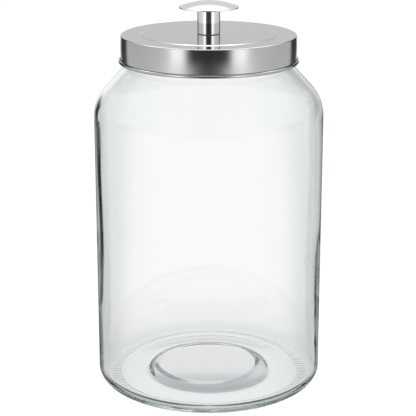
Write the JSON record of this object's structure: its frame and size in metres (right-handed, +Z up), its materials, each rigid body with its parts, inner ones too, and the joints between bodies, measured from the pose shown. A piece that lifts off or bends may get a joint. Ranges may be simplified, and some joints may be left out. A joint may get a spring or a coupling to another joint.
{
  "type": "lidded glass storage jar",
  "caption": "Tall cylindrical clear glass jar with a rounded heel, sloped shoulder and threaded neck, closed by a screw-on metal lid with a mushroom knob.",
  "frame": {"origin": "centre of the foot ring that the jar stands on, at table level", "axes": "+Z up along the jar's axis; the jar is round, so +X and +Y are level and arbitrary"},
  "size_m": [0.22, 0.22, 0.3766],
  "materials": {
    "clear_glass": "clear, faintly green-grey where it is thick",
    "brushed_lid": "spun and finely brushed sheet with a satin shine",
    "white_plastic": "moulded white plastic",
    "pale_silicone": "translucent white silicone, satin",
    "polished_knob": "mirror polish",
    "dark_rubber": "thin black rubber",
    "zinc_steel": "bright zinc plate"
  },
  "bodies": {
    "jar": {"glass_jar": "clear_glass"},
    "seal": {"seal_ring": "pale_silicone"},
    "lid": {"lid_cover": "brushed_lid", "thread_liner": "white_plastic", "knob_stem": "polished_knob", "knob_cap": "polished_knob", "stem_gasket": "dark_rubber", "flat_washer": "zinc_steel", "spring_washer": "zinc_steel", "knob_screw": "zinc_steel"}
  },
  "joints": [
    {"name": "lid_rise", "type": "slide", "parent": "jar", "child": "seal", "axis": [0, 0, 1], "range_m": [0, 0.0401]},
    {"name": "lid_turn", "type": "hinge", "parent": "seal", "child": "lid", "pos_m": [0, 0, 0], "axis": [0, 0, 1], "range_deg": [0, 720]}
  ],
  "couplings": [
    {"joint": "lid_rise", "follows": "lid_turn", "m_per_rad": 0.0031831}
  ]
}
